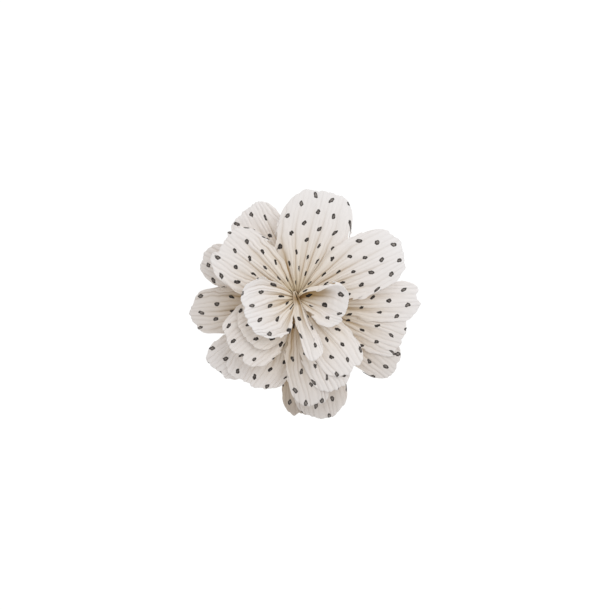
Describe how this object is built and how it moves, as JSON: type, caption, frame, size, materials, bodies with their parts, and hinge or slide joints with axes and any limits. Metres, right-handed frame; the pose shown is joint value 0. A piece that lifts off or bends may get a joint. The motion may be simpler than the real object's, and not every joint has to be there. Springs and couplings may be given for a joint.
{
  "type": "flower hair clip",
  "caption": "Fabric flower hair clip: pleated ivory cotton petals with small dark dots, sewn to felt over a toothed spring alligator clip.",
  "frame": {"origin": "on the underside of the lower lever, straight below the middle of the felt base", "axes": "+Z out of the face of the flower; +X along the clip towards its thumb tail, the jaw points along -X; +Y towards the widest single petal at the top of the flower"},
  "size_m": [0.1001, 0.1, 0.0343],
  "materials": {
    "petal_cotton": "matte crinkle-pleated cotton, ivory with dark grey dots",
    "felt": "matte pressed felt, ivory",
    "hot_glue": "translucent amber glue",
    "cotton_thread": "matte twisted thread",
    "nickel_steel": "nickel-plated stamped steel",
    "spring_wire": "drawn steel wire"
  },
  "bodies": {
    "flower": {"upper_lever": "nickel_steel", "felt_base": "felt", "felt_cover": "felt", "clip_strap": "felt", "glue_mound": "hot_glue", "gather_thread": "cotton_thread", "hinge_pin": "nickel_steel", "torsion_spring": "spring_wire", "outer_petal_1": "petal_cotton", "outer_petal_2": "petal_cotton", "outer_petal_3": "petal_cotton", "outer_petal_4": "petal_cotton", "outer_petal_5": "petal_cotton", "outer_petal_6": "petal_cotton", "outer_petal_7": "petal_cotton", "outer_petal_8": "petal_cotton", "outer_petal_9": "petal_cotton", "outer_petal_10": "petal_cotton", "middle_petal_1": "petal_cotton", "middle_petal_2": "petal_cotton", "middle_petal_3": "petal_cotton", "middle_petal_4": "petal_cotton", "middle_petal_5": "petal_cotton", "middle_petal_6": "petal_cotton", "middle_petal_7": "petal_cotton", "middle_petal_8": "petal_cotton", "heart_petal_left": "petal_cotton", "heart_petal_fold": "petal_cotton", "heart_petal_cup": "petal_cotton"},
    "jaw": {"lower_lever": "nickel_steel"}
  },
  "joints": [
    {"name": "jaw_open", "type": "hinge", "parent": "flower", "child": "jaw", "pos_m": [0.006, 0, 0.00285], "axis": [0, -1, 0], "range_deg": [0, 15], "stiffness_Nm_per_rad": 0.03, "springref_deg": -68.75, "deforming": ["torsion_spring"]}
  ]
}
